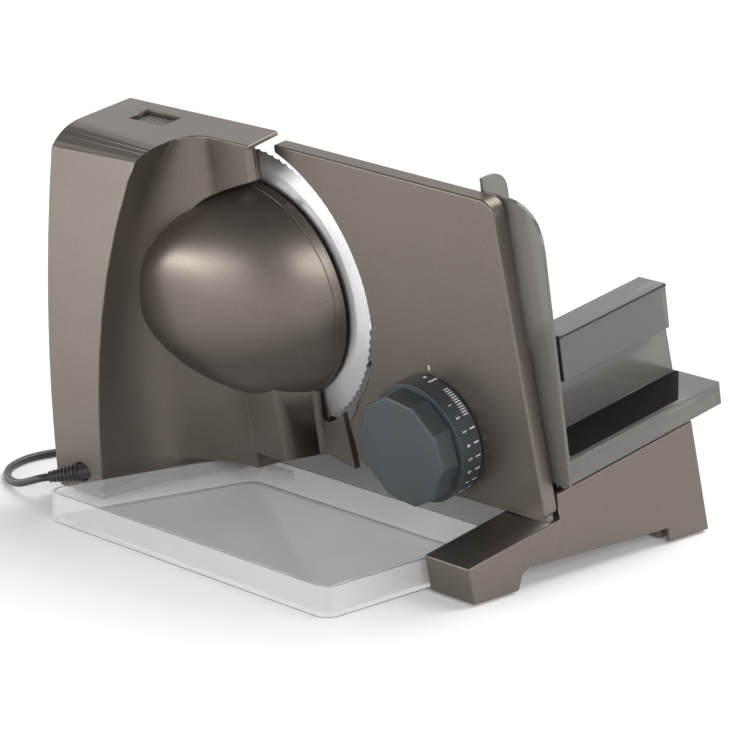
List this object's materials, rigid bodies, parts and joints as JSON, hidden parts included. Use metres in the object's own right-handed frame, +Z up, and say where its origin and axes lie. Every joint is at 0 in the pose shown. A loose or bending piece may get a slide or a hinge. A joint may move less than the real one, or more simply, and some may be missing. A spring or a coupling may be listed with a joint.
{
  "type": "electric food slicer",
  "caption": "Electric food slicer: serrated round blade in a leaning tower with a domed guard, stop plate set by a faceted dial, smoked sliding carriage and a clear slice tray.",
  "frame": {"origin": "on the standing surface under the middle of the machine's bounding box, taken without its mains lead", "axes": "+X from the tower towards the user's end of the carriage run, +Y towards the food side, +Z up"},
  "size_m": [0.4573, 0.2898, 0.2526],
  "materials": {
    "body_paint": "metallic taupe lacquer on moulded plastic, satin with a fine flake",
    "blade_steel": "bright stainless steel, ground edge",
    "drive_steel": "plain turned steel",
    "drive_plastic": "natural white gear plastic",
    "slate_plastic": "slate grey, satin, with a white scale round the ring",
    "black_plastic": "black, fine grain",
    "smoked_plastic": "smoked transparent plastic, glossy",
    "clear_plastic": "clear transparent plastic, glossy",
    "foot_rubber": "pale soft rubber",
    "cord_black": "black flexible plastic, satin"
  },
  "bodies": {
    "frame": {"base_frame": "body_paint", "tower_housing": "body_paint", "rear_cover": "body_paint", "blade_axle": "drive_steel", "worm_bearing": "drive_plastic", "motor": "drive_steel", "switch_core": "black_plastic", "cam_pin": "drive_steel", "guide_bush_left": "black_plastic", "guide_bush_right": "black_plastic", "slide_rail": "black_plastic", "foot_front_right": "foot_rubber", "foot_rear_right": "foot_rubber", "foot_rear_left": "foot_rubber", "foot_front_left": "foot_rubber", "strain_relief": "cord_black", "cord": "cord_black", "cord_coil": "cord_black", "coil_tie": "cord_black", "plug": "cord_black"},
    "blade": {"blade": "blade_steel", "blade_wheel": "drive_plastic", "blade_lock": "slate_plastic"},
    "worm": {"worm": "drive_steel"},
    "switch": {"switch_button": "black_plastic"},
    "plate": {"stop_plate": "body_paint", "guide_rod_left": "drive_steel", "guide_rod_right": "drive_steel"},
    "dial": {"dial_grip": "slate_plastic", "dial_ring": "slate_plastic", "dial_axle": "drive_steel", "dial_clip": "drive_steel"},
    "carriage": {"carriage": "smoked_plastic", "carriage_runner": "black_plastic"},
    "pusher": {"pusher": "smoked_plastic"},
    "tray": {"slice_tray": "clear_plastic"}
  },
  "joints": [
    {"name": "blade_spin", "type": "hinge", "parent": "frame", "child": "blade", "pos_m": [-0.0705, -0.03008, 0.14238], "axis": [0, 0.9848, 0.1736], "continuous": true},
    {"name": "worm_spin", "type": "hinge", "parent": "frame", "child": "worm", "pos_m": [-0.121, -0.04288, 0.14013], "axis": [0, -0.1736, 0.9848], "continuous": true},
    {"name": "switch_press", "type": "slide", "parent": "frame", "child": "switch", "axis": [0, 0.1736, -0.9848], "range_m": [0, 0.002], "stiffness_N_per_m": 600},
    {"name": "plate_slide", "type": "slide", "parent": "frame", "child": "plate", "axis": [0, -0.9848, -0.1736], "range_m": [0, 0.014]},
    {"name": "dial_turn", "type": "hinge", "parent": "plate", "child": "dial", "pos_m": [0.0837, -0.01872, 0.07798], "axis": [0, -0.9848, -0.1736], "range_deg": [0, 300]},
    {"name": "carriage_slide", "type": "slide", "parent": "frame", "child": "carriage", "axis": [-1, 0, 0], "range_m": [0, 0.19]},
    {"name": "pusher_slide", "type": "slide", "parent": "carriage", "child": "pusher", "axis": [0, -0.9848, -0.1736], "range_m": [0, 0.024]},
    {"name": "tray_pull", "type": "slide", "parent": "frame", "child": "tray", "axis": [0, -1, 0], "range_m": [0, 0.12]}
  ],
  "couplings": [
    {"joint": "worm_spin", "follows": "blade_spin", "ratio": -60},
    {"joint": "dial_turn", "follows": "plate_slide", "rad_per_m": 373.99}
  ]
}
